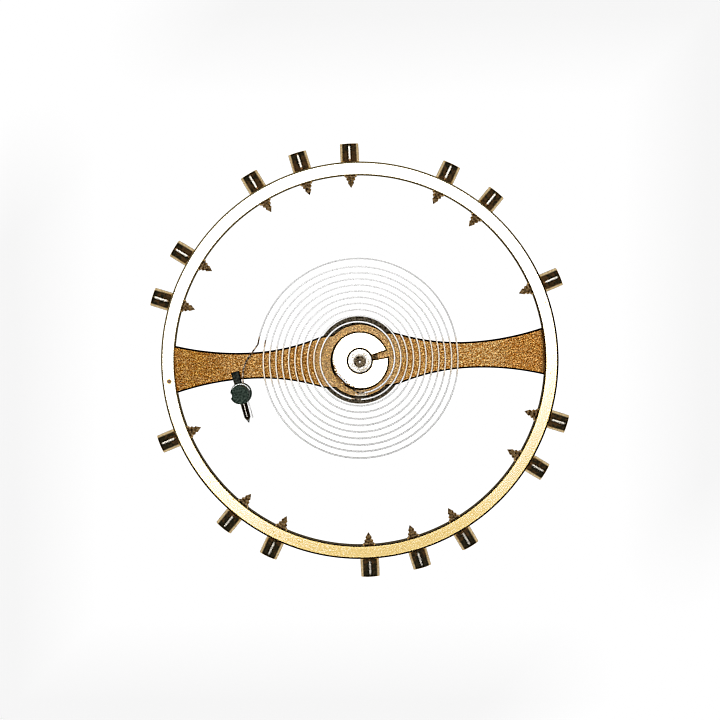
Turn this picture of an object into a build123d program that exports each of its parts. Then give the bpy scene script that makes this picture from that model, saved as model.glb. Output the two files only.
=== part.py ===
from build123d import *
from math import atan2, ceil, cos, degrees, hypot, radians, sin, sqrt
import os

# A screw balance of a wristwatch, with its staff, rollers, hairspring and stud, in millimetres.
# The origin is the middle of the rim on the staff's axis. +Z points to the hairspring's side,
# and the two arms lie along X.

os.makedirs("parts", exist_ok=True)

# Clearances, edges and cuts
overrun = 0.1
edge_break = 0.012
seat_gap = 0.003
thread_gap = 0.005
touch_gap = 0.002

# Rim
rim_outer_radius = 5.0
rim_width = 0.335
rim_height = 0.56
rim_bevel = 0.025

# Arms and hub, cut from one piece with the rim
arm_thickness = 0.2
arm_drop = 0.3
arm_end_half_width = 0.594
arm_waist_half_width = 0.333
arm_shoulder_half_width = 0.624
arm_root_half_width = 0.673
arm_waist_share = 0.488
arm_shoulder_share = 0.185
hub_radius = 0.925

# Rim screws, on a grid of equal angles about the Y axis, the same on both halves of the rim
screw_grid_angle = 14.0
screw_grid_steps = (-5, -3, -2, 0, 1, 2, 4, 5)
screw_head_radius = 0.2375
screw_head_length = 0.46
screw_slot_width = 0.07
screw_slot_depth = 0.11
thread_radius = 0.16
screw_point_length = 0.32
# Crests and roots of the point: place along its length, and share of the thread's radius
screw_point_shares = (
    (0.09, 1.00),
    (0.22, 0.66),
    (0.34, 0.74),
    (0.48, 0.42),
    (0.60, 0.52),
    (1.00, 0.00),
)

# Staff
staff_half_length = 1.6
pivot_radius = 0.045
pivot_length = 0.2
pivot_cone_length = 0.12
arbor_radius = 0.145
arbor_taper = 0.012
collet_seat_radius = 0.3195
collet_seat_proud = 0.02
rivet_radius = 0.42
rivet_lip = 0.04
rivet_height = 0.04
flange_radius = 0.62
flange_height = 0.18
roller_seat_radius = 0.22
roller_seat_proud = 0.03

# Roller table, impulse jewel and safety roller
roller_radius = 1.114
roller_thickness = 0.16
jewel_angle = 0.0
jewel_place_radius = 0.82
jewel_radius = 0.16
jewel_flat_share = 0.35
jewel_drop = 0.42
safety_radius = 0.5
safety_thickness = 0.18
safety_pipe_radius = 0.33
safety_pipe_length = 0.3
safety_notch_radius = 0.17

# Collet
collet_outer_radius = 0.735
collet_height = 0.42
collet_lift = 0.01
collet_slot_width = 0.148
collet_slot_angle = 11.65
collet_window_half_length = 0.17
collet_pin_angle = 222.0
collet_pin_radius = 0.045
collet_pin_taper = 0.007
collet_pin_share = 0.788
collet_hole_shift = 0.025

# Hairspring, a flat strip wound outwards anticlockwise seen from above
strip_thickness = 0.035
strip_height = 0.12
strip_seat_depth = 0.105
strip_start_share = 0.66
spring_pitch = 0.1592
spring_lean = 0.0025
first_coil_gap = 0.14
spring_centre_x = 0.002
spring_centre_y = 0.0645
spring_whole_turns = 10
spring_opening = 0.34
spring_opening_angle = 12.0
spring_opening_shift = 0.029
knee_radius = 0.25
elbow_radius = 0.1
elbow_turn = 26.0
tail_bend_radius = 0.88
tail_step = 0.388
tail_length = 0.66

# Stud and its pin
stud_angle = 192.65
elbow_to_stud_angle = 25.3
stud_clearance = 0.07
stud_foot_radius = 0.274
stud_foot_height = 0.4
stud_foot_taper = 0.012
stud_post_radius = 0.235
stud_post_height = 0.65
stud_groove_radius = 0.09
stud_groove_place = 0.28
stud_groove_angle = 183.55
stud_pin_big_radius = 0.108
stud_pin_small_radius = 0.082
stud_pin_back_length = 0.567
stud_pin_front_length = 0.62
stud_pin_point_length = 0.153
stud_hole_shift = 0.02
stud_hole_slack = 0.012

# Heights that follow from the sizes above
rim_top = rim_height / 2
arm_top = rim_top - arm_drop
arm_bottom = arm_top - arm_thickness
rivet_top = arm_top + rivet_height
flange_bottom = arm_bottom - flange_height
roller_bottom = flange_bottom - roller_thickness
safety_top = roller_bottom - safety_pipe_length
safety_bottom = safety_top - safety_thickness
collet_bottom = rivet_top + collet_lift
collet_top = collet_bottom + collet_height
strip_middle = collet_bottom + collet_height / 2
stud_bottom = arm_top + stud_clearance
stud_foot_top = stud_bottom + stud_foot_height
stud_top = stud_foot_top + stud_post_height
pivot_foot = staff_half_length - pivot_length
cone_foot = pivot_foot - pivot_cone_length

# Places in the plane of the wheel that follow from the sizes above
rim_inner_radius = rim_outer_radius - rim_width
rim_middle_radius = rim_outer_radius - rim_width / 2
arm_root_place = sqrt(hub_radius**2 - arm_root_half_width**2)
arm_waist_place = hub_radius + arm_waist_share * (rim_inner_radius - hub_radius)
arm_shoulder_place = arm_root_place + arm_shoulder_share * (arm_waist_place - arm_root_place)
arm_end_place = sqrt(rim_inner_radius**2 - arm_end_half_width**2)
strip_seat_distance = collet_outer_radius - strip_seat_depth
collet_pin_place = strip_seat_distance - strip_thickness / 2 - touch_gap - collet_pin_radius
collet_pin_half_length = collet_pin_share * sqrt(collet_outer_radius**2 - collet_pin_place**2)
collet_hole_place = collet_pin_place + collet_hole_shift
strip_seat_outer = strip_seat_distance + strip_thickness / 2
collet_hole_radius = hypot(strip_seat_outer - collet_hole_place, strip_height / 2) + touch_gap
strip_start_length = strip_start_share * sqrt(collet_outer_radius**2 - strip_seat_distance**2)
spring_first_radius = collet_outer_radius + first_coil_gap


def unit(angle):
    """The direction at this angle, in degrees, in the plane of the wheel"""
    return Vector(cos(radians(angle)), sin(radians(angle)))


def turned(outline):
    """A solid turned about the staff's axis from (radius, height) points"""
    return revolve(Plane.XZ * make_face(Polyline(outline, close=True)), Axis.Z)


def broken_disc(radius, bottom, top):
    """The outline of a disc whose outer corners are bevelled"""
    return [
        (0, bottom),
        (radius - edge_break, bottom),
        (radius, bottom + edge_break),
        (radius, top - edge_break),
        (radius - edge_break, top),
        (0, top),
    ]


def upright_cylinder(radius, bottom, top, place=Vector(0, 0)):
    """A plain cylinder from one height to another"""
    height = top - bottom
    return Pos(place.X, place.Y, bottom + height / 2) * Cylinder(radius, height)


def level_plane(place_angle, place_radius, height):
    """A plane square to the tangent at a place, its normal pointing anticlockwise"""
    place = unit(place_angle) * place_radius
    origin = (place.X, place.Y, height)
    return Plane(origin, x_dir=unit(place_angle), z_dir=unit(place_angle + 90))


# Rim, arms and hub
def screw_angles():
    angles = []
    for half_turn in (0, 180):
        for step in screw_grid_steps:
            angles.append(half_turn + 90 + step * screw_grid_angle)
    return angles


def arm_face():
    """One arm's outline, from the wheel's centre into the rim"""
    inner_end = (0, arm_root_half_width)
    root = (arm_root_place, arm_root_half_width)
    shoulder = (arm_shoulder_place, arm_shoulder_half_width)
    waist = (arm_waist_place, arm_waist_half_width)
    outer_end = (arm_end_place, arm_end_half_width)
    in_rim = (rim_middle_radius, arm_end_half_width)
    hub_side = TangentArc(waist, shoulder, tangent=(-1, 0))
    shoulder_side = TangentArc(shoulder, root, tangent=hub_side % 1)
    rim_side = TangentArc(waist, outer_end, tangent=(1, 0))
    one_side = [
        Line(inner_end, root),
        shoulder_side,
        hub_side,
        rim_side,
        Line(outer_end, in_rim),
    ]
    other_side = [mirror(edge, Plane.XZ) for edge in one_side]
    inner_cap = Line(inner_end, (0, -arm_root_half_width))
    outer_cap = Line(in_rim, (rim_middle_radius, -arm_end_half_width))
    return make_face(one_side + other_side + [inner_cap, outer_cap])


def rim_outline():
    return [
        (rim_inner_radius + rim_bevel, -rim_top),
        (rim_outer_radius - rim_bevel, -rim_top),
        (rim_outer_radius, -rim_top + rim_bevel),
        (rim_outer_radius, rim_top - rim_bevel),
        (rim_outer_radius - rim_bevel, rim_top),
        (rim_inner_radius + rim_bevel, rim_top),
        (rim_inner_radius, rim_top - rim_bevel),
        (rim_inner_radius, -rim_top + rim_bevel),
    ]


def rim_and_arms():
    wheel = turned(rim_outline())
    for half_turn in (0, 180):
        arm = Rot(0, 0, half_turn) * extrude(arm_face(), arm_thickness)
        wheel += Pos(0, 0, arm_bottom) * arm
    wheel += upright_cylinder(hub_radius, arm_bottom, arm_top)
    wheel -= upright_cylinder(rivet_radius + seat_gap, arm_bottom - overrun, arm_top + overrun)
    hole_length = rim_width + 2 * overrun
    for angle in screw_angles():
        along = Plane(unit(angle) * rim_middle_radius, x_dir=(0, 0, 1), z_dir=unit(angle))
        wheel -= along * Cylinder(thread_radius + thread_gap, hole_length)
    return wheel


# Rim screw
def rim_screw(angle):
    head_end = rim_outer_radius + screw_head_length
    outline = [
        (head_end, 0),
        (head_end, screw_head_radius - edge_break),
        (head_end - edge_break, screw_head_radius),
        (rim_outer_radius + edge_break, screw_head_radius),
        (rim_outer_radius, screw_head_radius - edge_break),
        (rim_outer_radius, thread_radius),
    ]
    for place_share, radius_share in screw_point_shares:
        place = rim_inner_radius - place_share * screw_point_length
        outline.append((place, radius_share * thread_radius))
    screw = revolve(make_face(Polyline(outline, close=True)), Axis.X)
    slot = Box(2 * screw_slot_depth, 2 * (screw_head_radius + overrun), screw_slot_width)
    screw -= Pos(head_end, 0, 0) * slot
    return Rot(0, 0, angle) * screw


# Staff
def balance_staff():
    return turned(
        [
            (0, -staff_half_length),
            (pivot_radius - edge_break, -staff_half_length),
            (pivot_radius, -staff_half_length + edge_break),
            (pivot_radius, -pivot_foot),
            (arbor_radius, -cone_foot),
            (arbor_radius + arbor_taper, safety_bottom - roller_seat_proud),
            (roller_seat_radius, safety_bottom - roller_seat_proud),
            (roller_seat_radius, flange_bottom),
            (flange_radius - edge_break, flange_bottom),
            (flange_radius, flange_bottom + edge_break),
            (flange_radius, arm_bottom),
            (rivet_radius, arm_bottom),
            (rivet_radius, arm_top),
            (rivet_radius + rivet_lip, arm_top),
            (rivet_radius + rivet_lip - edge_break, rivet_top),
            (collet_seat_radius, rivet_top),
            (collet_seat_radius, collet_top + collet_seat_proud - edge_break),
            (collet_seat_radius - edge_break, collet_top + collet_seat_proud),
            (arbor_radius + arbor_taper, collet_top + collet_seat_proud),
            (arbor_radius, cone_foot),
            (pivot_radius, pivot_foot),
            (pivot_radius, staff_half_length - edge_break),
            (pivot_radius - edge_break, staff_half_length),
            (0, staff_half_length),
        ]
    )


# Rollers and jewel
def jewel_face(grown_by):
    """The D-shaped section of the impulse jewel, its flat facing away from the staff"""
    radius = jewel_radius + grown_by
    flat_place = jewel_flat_share * jewel_radius + grown_by
    cut = Pos(flat_place + radius, 0) * Rectangle(2 * radius, 2 * (radius + overrun))
    return Rot(0, 0, jewel_angle) * Pos(jewel_place_radius, 0) * (Circle(radius) - cut)


def roller_table():
    table = turned(broken_disc(roller_radius, roller_bottom, flange_bottom))
    low, high = roller_bottom - overrun, flange_bottom + overrun
    table -= upright_cylinder(roller_seat_radius + seat_gap, low, high)
    table -= Pos(0, 0, low) * extrude(jewel_face(seat_gap), high - low)
    return table


def impulse_jewel():
    bottom = roller_bottom - jewel_drop
    jewel = Pos(0, 0, bottom) * extrude(jewel_face(0), flange_bottom - edge_break - bottom)
    return chamfer(jewel.faces().sort_by(Axis.Z)[0].edges(), edge_break)


def safety_roller():
    roller = turned(broken_disc(safety_radius, safety_bottom, safety_top))
    roller += upright_cylinder(safety_pipe_radius, safety_top, roller_bottom)
    low, high = safety_bottom - overrun, roller_bottom + overrun
    roller -= upright_cylinder(roller_seat_radius + seat_gap, low, high)
    notch_place = unit(jewel_angle) * safety_radius
    roller -= upright_cylinder(safety_notch_radius, low, safety_top, notch_place)
    return roller


# Collet
def collet_outline():
    bore = collet_seat_radius + seat_gap
    return [
        (bore, collet_bottom),
        (collet_outer_radius - edge_break, collet_bottom),
        (collet_outer_radius, collet_bottom + edge_break),
        (collet_outer_radius, collet_top - edge_break),
        (collet_outer_radius - edge_break, collet_top),
        (bore + edge_break, collet_top),
        (bore, collet_top - edge_break),
    ]


def collet():
    ring = turned(collet_outline())
    slot = Box(collet_outer_radius, collet_slot_width, collet_height + 2 * overrun)
    slot_place = Pos(collet_outer_radius / 2 + overrun, 0, strip_middle)
    ring -= Rot(0, 0, collet_slot_angle) * slot_place * slot
    across = level_plane(collet_pin_angle, collet_hole_place, strip_middle)
    ring -= across * Cylinder(collet_hole_radius, 2 * collet_outer_radius)
    window = Box(
        collet_outer_radius - collet_pin_place + overrun,
        2 * collet_window_half_length,
        collet_top - strip_middle + overrun,
        align=(Align.MIN, Align.CENTER, Align.MIN),
    )
    ring -= Rot(0, 0, collet_pin_angle) * Pos(collet_pin_place, 0, strip_middle) * window
    return ring


def collet_pin():
    across = level_plane(collet_pin_angle, collet_pin_place, strip_middle)
    small_radius = collet_pin_radius - collet_pin_taper
    return across * Cone(collet_pin_radius, small_radius, 2 * collet_pin_half_length)


# Hairspring
def knee_moves():
    """The straight end in the collet and the knee that brings it onto the first coil"""
    centre = Vector(spring_centre_x, spring_centre_y)
    along_pin = unit(collet_pin_angle + 90)
    out_of_pin = unit(collet_pin_angle)
    sideways = strip_seat_distance - knee_radius - centre.dot(out_of_pin)
    forwards = sqrt((spring_first_radius - knee_radius) ** 2 - sideways**2)
    run = forwards + centre.dot(along_pin) + strip_start_length
    return [(0, run), (knee_radius, degrees(atan2(forwards, sideways)))]


def coil_moves(first_angle):
    """Quarter turns that grow by a quarter of the pitch, a little less than that below the staff.
    The last half turn opens out with one short flatter arc."""
    sweep = 360 * spring_whole_turns + (stud_angle - elbow_to_stud_angle - first_angle) % 360
    moves = []
    radius = spring_first_radius
    for quarter in range(ceil(sweep / 90)):
        moves.append((radius, min(90, sweep - 90 * quarter)))
        next_angle = first_angle + 90 * (quarter + 1)
        radius += spring_pitch / 4 + spring_lean * sin(radians(next_angle))
    (near_radius, near_angle), (last_radius, last_angle) = moves[-2:]
    moves[-2:] = [
        (near_radius + spring_opening, spring_opening_angle),
        (near_radius - spring_opening_shift, near_angle - spring_opening_angle),
        (last_radius + spring_opening_shift, last_angle),
    ]
    return moves


def follow(spot, heading, moves):
    """Where the strip's middle line is, and where it points, after these moves"""
    for radius, amount in moves:
        if radius == 0:
            spot = spot + unit(heading) * amount
        else:
            bend = radius if amount > 0 else -radius
            centre = spot + unit(heading + 90) * bend
            heading = heading + amount
            spot = centre - unit(heading + 90) * bend
    return spot, heading


def tail_moves(spot, heading):
    """The elbow out of the last coil, and the bend and straight tail through the stud"""
    elbow = (elbow_radius, -elbow_turn)
    spot, heading = follow(spot, heading, [elbow])
    outward = unit(stud_angle)
    bend = stud_angle + 90 - heading % 360
    bend_reach = tail_bend_radius * (1 - cos(radians(bend)))
    step_out = tail_distance - outward.dot(spot) - bend_reach
    run = step_out / outward.dot(unit(heading))
    approach = [(0, run), (tail_bend_radius, bend)]
    spot, heading = follow(spot, heading, approach)
    tail = tail_length - unit(stud_angle + 90).dot(spot)
    return [elbow] + approach + [(0, tail)]


strip_start = unit(collet_pin_angle) * strip_seat_distance
strip_start -= unit(collet_pin_angle + 90) * strip_start_length
strip_heading = collet_pin_angle + 90
strip_moves = knee_moves()
strip_moves += coil_moves(collet_pin_angle + strip_moves[-1][1])
coil_end, coil_end_heading = follow(strip_start, strip_heading, strip_moves)
tail_distance = coil_end.length + tail_step
strip_moves += tail_moves(coil_end, coil_end_heading)

# The stud and its pin stand just outside the strip's tail
stud_pin_slope = (stud_pin_big_radius - stud_pin_small_radius) / (
    stud_pin_back_length + stud_pin_front_length
)
stud_pin_foot_radius = stud_pin_big_radius - stud_pin_slope * (
    stud_pin_back_length - stud_foot_radius
)
stud_distance = tail_distance + strip_thickness / 2 + touch_gap + stud_pin_foot_radius
stud_hole_place = stud_distance - stud_hole_shift
stud_hole_radius = touch_gap + hypot(
    stud_hole_place - tail_distance + strip_thickness / 2 + stud_hole_slack, strip_height / 2
)


def strip_edge(offset):
    """One edge of the strip: its middle line set off to the left by this much"""
    spot, heading = strip_start, strip_heading
    edges = []
    for radius, amount in strip_moves:
        left = unit(heading + 90)
        next_spot, next_heading = follow(spot, heading, [(radius, amount)])
        start = spot + left * offset
        end = next_spot + unit(next_heading + 90) * offset
        if radius == 0:
            edges.append(Line(start, end))
        else:
            half_spot, half_heading = follow(spot, heading, [(radius, amount / 2)])
            edges.append(ThreePointArc(start, half_spot + unit(half_heading + 90) * offset, end))
        spot, heading = next_spot, next_heading
    return edges


def hairspring():
    left_edge = strip_edge(strip_thickness / 2)
    right_edge = strip_edge(-strip_thickness / 2)
    first_cap = Line(left_edge[0] @ 0, right_edge[0] @ 0)
    last_cap = Line(left_edge[-1] @ 1, right_edge[-1] @ 1)
    face = make_face(left_edge + right_edge + [first_cap, last_cap])
    return Pos(0, 0, strip_middle - strip_height / 2) * extrude(face, strip_height)


def least_gap():
    """The least gap between the strip's turns, measured on points along its middle line"""
    spot, heading = strip_start, strip_heading
    points = []
    for radius, amount in strip_moves:
        pieces = 10
        for piece in range(pieces):
            spot, heading = follow(spot, heading, [(radius, amount / pieces)])
            points.append((spot, heading))
    gap = rim_outer_radius
    for spot, heading in points:
        for other, other_heading in points:
            if other_heading - heading > 180:
                gap = min(gap, (other - spot).length)
    return gap - strip_thickness


# Stud
def stud():
    centre = unit(stud_angle) * stud_distance
    waist_radius = stud_foot_radius - stud_foot_taper
    post = turned(
        [
            (0, stud_bottom),
            (stud_foot_radius - edge_break, stud_bottom),
            (stud_foot_radius, stud_bottom + edge_break),
            (waist_radius, stud_foot_top - waist_radius + stud_post_radius),
            (stud_post_radius, stud_foot_top),
            (stud_post_radius, stud_top - edge_break),
            (stud_post_radius - edge_break, stud_top),
            (0, stud_top),
        ]
    )
    groove_place = unit(stud_groove_angle) * stud_groove_place
    post -= upright_cylinder(
        stud_groove_radius, stud_bottom - overrun, stud_top + overrun, groove_place
    )
    post = Pos(centre.X, centre.Y, 0) * post
    across = level_plane(stud_angle, stud_hole_place, strip_middle)
    return post - across * Cylinder(stud_hole_radius, 2 * (stud_foot_radius + overrun))


def stud_pin():
    outline = [
        (0, -stud_pin_back_length),
        (stud_pin_big_radius - edge_break, -stud_pin_back_length),
        (stud_pin_big_radius, -stud_pin_back_length + edge_break),
        (stud_pin_small_radius, stud_pin_front_length),
        (0, stud_pin_front_length + stud_pin_point_length),
    ]
    return level_plane(stud_angle, stud_distance, strip_middle) * turned(outline)


pieces = {
    "rim_and_arms": rim_and_arms(),
    "balance_staff": balance_staff(),
    "roller_table": roller_table(),
    "safety_roller": safety_roller(),
    "impulse_jewel": impulse_jewel(),
    "collet": collet(),
    "collet_pin": collet_pin(),
    "hairspring": hairspring(),
    "stud": stud(),
    "stud_pin": stud_pin(),
}
for number, angle in enumerate(screw_angles(), start=1):
    pieces[f"rim_screw_{number:02d}"] = rim_screw(angle)

for name, shape in pieces.items():
    export_step(shape, f"parts/{name}.step")

print(f"least gap between the hairspring's turns: {least_gap():.3f} mm")
print(f"stud axis: {stud_distance:.3f} mm from the staff's axis")
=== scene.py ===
from cmath import rect
from itertools import product as product_of
from math import acos, asin, atan2, ceil, cos, degrees, hypot, pi, radians, sin, sqrt, tan

import bmesh
import bpy
import numpy as np
from mathutils import Matrix, Vector


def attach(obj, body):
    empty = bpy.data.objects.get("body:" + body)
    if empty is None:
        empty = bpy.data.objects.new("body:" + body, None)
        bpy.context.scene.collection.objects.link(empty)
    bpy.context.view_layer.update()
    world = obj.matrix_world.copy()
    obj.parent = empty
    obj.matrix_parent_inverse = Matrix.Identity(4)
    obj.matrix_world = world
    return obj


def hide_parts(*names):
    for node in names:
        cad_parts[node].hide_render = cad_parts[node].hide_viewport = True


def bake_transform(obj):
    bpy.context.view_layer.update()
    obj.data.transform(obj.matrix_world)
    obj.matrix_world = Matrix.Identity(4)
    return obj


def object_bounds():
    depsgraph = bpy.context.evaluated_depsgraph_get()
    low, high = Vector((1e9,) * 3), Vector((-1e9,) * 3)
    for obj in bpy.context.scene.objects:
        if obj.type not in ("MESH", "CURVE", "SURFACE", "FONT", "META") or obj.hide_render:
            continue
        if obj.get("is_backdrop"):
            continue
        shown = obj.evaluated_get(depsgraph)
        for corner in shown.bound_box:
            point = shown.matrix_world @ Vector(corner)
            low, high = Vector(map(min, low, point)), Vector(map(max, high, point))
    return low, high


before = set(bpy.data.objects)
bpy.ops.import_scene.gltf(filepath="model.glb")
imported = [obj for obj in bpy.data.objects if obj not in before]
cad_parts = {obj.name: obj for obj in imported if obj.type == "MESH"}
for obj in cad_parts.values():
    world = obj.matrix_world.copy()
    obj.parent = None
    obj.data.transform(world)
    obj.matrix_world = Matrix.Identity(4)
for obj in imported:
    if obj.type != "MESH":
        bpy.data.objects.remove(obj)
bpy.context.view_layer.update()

# Every piece is drawn in millimetres and scaled to metres at the end
MM = 0.001

# Sizes of the source, in millimetres
rim_outer_radius, rim_inner_radius, rim_top = 5.0, 4.665, 0.28
arm_top, arm_bottom = -0.02, -0.22
arm_end_half_width, arm_waist_half_width = 0.594, 0.333
arm_shoulder_half_width, arm_root_half_width = 0.624, 0.673
arm_waist_share, arm_shoulder_share, hub_radius = 0.488, 0.185, 0.925
screw_grid_angle, screw_grid_steps = 14.0, (-5, -3, -2, 0, 1, 2, 4, 5)
screw_head_radius, screw_head_length = 0.2375, 0.46
screw_slot_width, screw_slot_depth = 0.07, 0.11
thread_radius, screw_point_length = 0.16, 0.32
screw_point_shares = (
    (0.09, 1.00), (0.22, 0.66), (0.34, 0.74), (0.48, 0.42), (0.60, 0.52), (1.00, 0.00)
)
staff_end, pivot_foot, cone_foot = 1.6, 1.4, 1.28
pivot_radius, arbor_radius, arbor_taper = 0.045, 0.145, 0.012
seat_radius, seat_top = 0.3195, 0.47
rivet_radius, rivet_lip, rivet_top = 0.42, 0.04, 0.02
flange_radius, flange_bottom = 0.62, -0.40
roller_seat_radius, roller_seat_bottom = 0.22, -1.07
roller_radius, roller_bottom = 1.114, -0.56
jewel_angle, jewel_place, jewel_radius, jewel_flat, jewel_bottom = 0.0, 0.82, 0.16, 0.056, -0.98
safety_radius, safety_top, safety_bottom = 0.5, -0.86, -1.04
safety_pipe_radius, safety_notch_radius = 0.33, 0.17
collet_outer_radius, collet_bottom, collet_top = 0.735, 0.03, 0.45
collet_slot_width, collet_slot_angle = 0.148, 11.65
collet_window_half_length, collet_pin_angle = 0.17, 222.0
collet_pin_radius, collet_pin_taper, collet_pin_share = 0.045, 0.007, 0.788
collet_hole_shift = 0.025
strip_thickness, strip_height, strip_middle = 0.035, 0.12, 0.24
strip_seat_depth, strip_start_share = 0.105, 0.66
spring_pitch, spring_lean, first_coil_gap, spring_whole_turns = 0.1592, 0.0025, 0.14, 10
spring_opening, spring_opening_angle, spring_opening_shift = 0.34, 12.0, 0.029
spring_centre = complex(0.002, 0.0645)
knee_radius, elbow_radius, elbow_turn = 0.25, 0.1, 26.0
tail_bend_radius, tail_step, tail_length = 0.88, 0.388, 0.66
stud_angle, elbow_to_stud_angle = 192.65, 25.3
stud_bottom, stud_foot_top, stud_top = 0.05, 0.45, 1.1
stud_foot_radius, stud_foot_taper, stud_post_radius = 0.274, 0.012, 0.235
stud_groove_radius, stud_groove_place, stud_groove_angle = 0.09, 0.28, 183.55
stud_pin_big_radius, stud_pin_small_radius = 0.108, 0.082
stud_pin_back_length, stud_pin_front_length, stud_pin_point_length = 0.567, 0.62, 0.153
stud_hole_shift, stud_hole_slack = 0.02, 0.012
seat_gap, thread_gap, touch_gap, overrun = 0.003, 0.005, 0.002, 0.1

# Of the drawing alone: what counts as the same place, and the longest edge of a sliver
same_place, sliver_length = 0.001, 0.0006


# Mesh tools
def unit(angle):
    """The direction at this angle, in degrees, as a complex number"""
    return rect(1, radians(angle))


def part_of(first, second):
    """How far one direction reaches along another"""
    return (first * second.conjugate()).real


def eased(corners, steps=4):
    """A profile from (radius, height, ease) corners, each rounded over that length"""
    out = []
    for i, (x, y, ease) in enumerate(corners):
        if ease == 0:
            out.append((x, y))
            continue
        spot = np.array((x, y))
        before = np.array(corners[i - 1][:2]) - spot
        after = np.array(corners[(i + 1) % len(corners)][:2]) - spot
        before, after = before / np.linalg.norm(before), after / np.linalg.norm(after)
        half = acos(np.clip(before @ after, -1, 1)) / 2
        middle = (before + after) / np.linalg.norm(before + after)
        centre, radius = spot + middle * ease / cos(half), ease * tan(half)
        first, last = spot + before * ease - centre, spot + after * ease - centre
        sweep = pi - 2 * half
        for s in range(steps + 1):
            t = s / steps
            a, b = sin((1 - t) * sweep) / sin(sweep), sin(t * sweep) / sin(sweep)
            out.append(tuple(centre + a * first + b * last))
    return out


def new_piece(name, points, faces):
    """An object with this mesh"""
    mesh = bpy.data.meshes.new(name)
    mesh.from_pydata([tuple(map(float, p)) for p in points], [], faces)
    piece = bpy.data.objects.new(name, mesh)
    bpy.context.scene.collection.objects.link(piece)
    return piece


def lathe(name, profile, segments=128, closed=False):
    """A turned piece about Z; its profile runs with the material on its left"""
    points, faces, rows = [], [], []
    for radius, height in profile:
        if radius == 0:
            rows.append([len(points)] * segments)
            points.append((0, 0, height))
        else:
            rows.append(list(range(len(points), len(points) + segments)))
            for s in range(segments):
                spot = unit(360 * s / segments) * radius
                points.append((spot.real, spot.imag, height))
    pairs = list(zip(rows, rows[1:] + rows[:1]))
    for low, high in pairs if closed else pairs[:-1]:
        for s in range(segments):
            n = (s + 1) % segments
            face = [low[s], low[n], high[n], high[s]]
            face = [v for i, v in enumerate(face) if v != face[i - 1]]
            if len(face) > 2:
                faces.append(face)
    return new_piece(name, points, faces)


def inset(points, amount):
    """An anticlockwise outline moved inwards"""
    ahead = np.roll(points, -1) - points
    left = 1j * ahead / abs(ahead)
    other = np.roll(left, 1)
    return points + amount * (left + other) / (1 + (left * other.conj()).real)


def prism(name, outline, bottom, top, ease, steps=3):
    """An upright piece with this outline, its edges rounded by one amount or one for each point"""
    outline = np.array(outline)
    ease = np.full(len(outline), 1.0) * ease
    turns = [pi / 2 * s / steps for s in range(steps + 1)]
    levels = [(ease * (1 - sin(t)), bottom + ease * (1 - cos(t))) for t in turns]
    levels += [(ease * (1 - cos(t)), top - ease * (1 - sin(t))) for t in turns]
    points, faces, count = [], [], len(outline)
    for amounts, heights in levels:
        points += [(p.real, p.imag, h) for p, h in zip(inset(outline, amounts), heights)]
    for level in range(len(levels) - 1):
        low = level * count
        for s in range(count):
            n = (s + 1) % count
            faces.append((low + s, low + n, low + count + n, low + count + s))
    faces.append(list(range(count))[::-1])
    faces.append(list(range(len(points) - count, len(points))))
    return new_piece(name, points, faces)


def bake(piece):
    """The piece's modifiers become part of its mesh"""
    graph = bpy.context.evaluated_depsgraph_get()
    mesh = bpy.data.meshes.new_from_object(piece.evaluated_get(graph))
    piece.modifiers.clear()
    piece.data = mesh
    return piece


def cut(piece, *tools):
    """The piece less these tools, which are used up, without the slivers that cutting leaves"""
    for tool in tools:
        change = piece.modifiers.new("cut", "BOOLEAN")
        change.object, change.operation, change.solver = tool, "DIFFERENCE", "EXACT"
    bake(piece)
    clean = bmesh.new()
    clean.from_mesh(piece.data)
    bmesh.ops.dissolve_degenerate(clean, dist=sliver_length, edges=clean.edges)
    clean.to_mesh(piece.data)
    clean.free()
    for tool in tools:
        bpy.data.objects.remove(tool)
    return piece


def turn(angle, axis="Z"):
    """A turn by this many degrees"""
    return Matrix.Rotation(radians(angle), 4, axis)


def across(place_angle, place_radius, height):
    """Turns a piece's Z axis to the tangent at a place on the wheel, pointing anticlockwise"""
    place = unit(place_angle) * place_radius
    out, ahead = unit(place_angle), unit(place_angle + 90)
    side = Vector((ahead.real, ahead.imag, 0)).cross(Vector((out.real, out.imag, 0)))
    matrix = Matrix.Identity(4)
    matrix.col[0] = (out.real, out.imag, 0, 0)
    matrix.col[1] = (*side, 0)
    matrix.col[2] = (ahead.real, ahead.imag, 0, 0)
    matrix.col[3] = (place.real, place.imag, height, 1)
    return matrix


def moved(piece, matrix):
    """The piece with its mesh moved"""
    piece.data.transform(matrix)
    if matrix.to_3x3().determinant() < 0:
        piece.data.flip_normals()
    return piece


def block(low, high):
    """A cutting block between two corners"""
    points = list(product_of(*zip(low, high)))
    faces = [(0, 1, 3, 2), (4, 6, 7, 5), (0, 4, 5, 1), (2, 3, 7, 6), (0, 2, 6, 4), (1, 5, 7, 3)]
    return new_piece("cutter", points, faces)


def rod(radius, low, high, segments=64):
    """A cutting rod along Z"""
    return lathe("cutter", [(0, low), (radius, low), (radius, high), (0, high)], segments)


def hand_over(piece, body, nodes, materials, choose=None, crease=32):
    """Smooths, scales and paints a finished piece, and puts it on its body in place of its nodes.
    Where choose is given, it picks each face's material from the face's middle and direction"""
    mesh = piece.data
    for material in materials:
        mesh.materials.append(material)
    if choose:
        for face in mesh.polygons:
            face.material_index = choose(face.center, face.normal)
    mesh.shade_smooth()
    mesh.set_sharp_from_angle(angle=radians(crease))
    even = piece.modifiers.new("even", "WEIGHTED_NORMAL")
    even.keep_sharp = True
    bake(piece)
    piece.data.transform(Matrix.Scale(MM, 4))
    if body:
        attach(piece, body)
    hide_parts(*nodes)
    return piece


# Materials
black, white = (0, 0, 0, 1), (1, 1, 1, 1)


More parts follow.
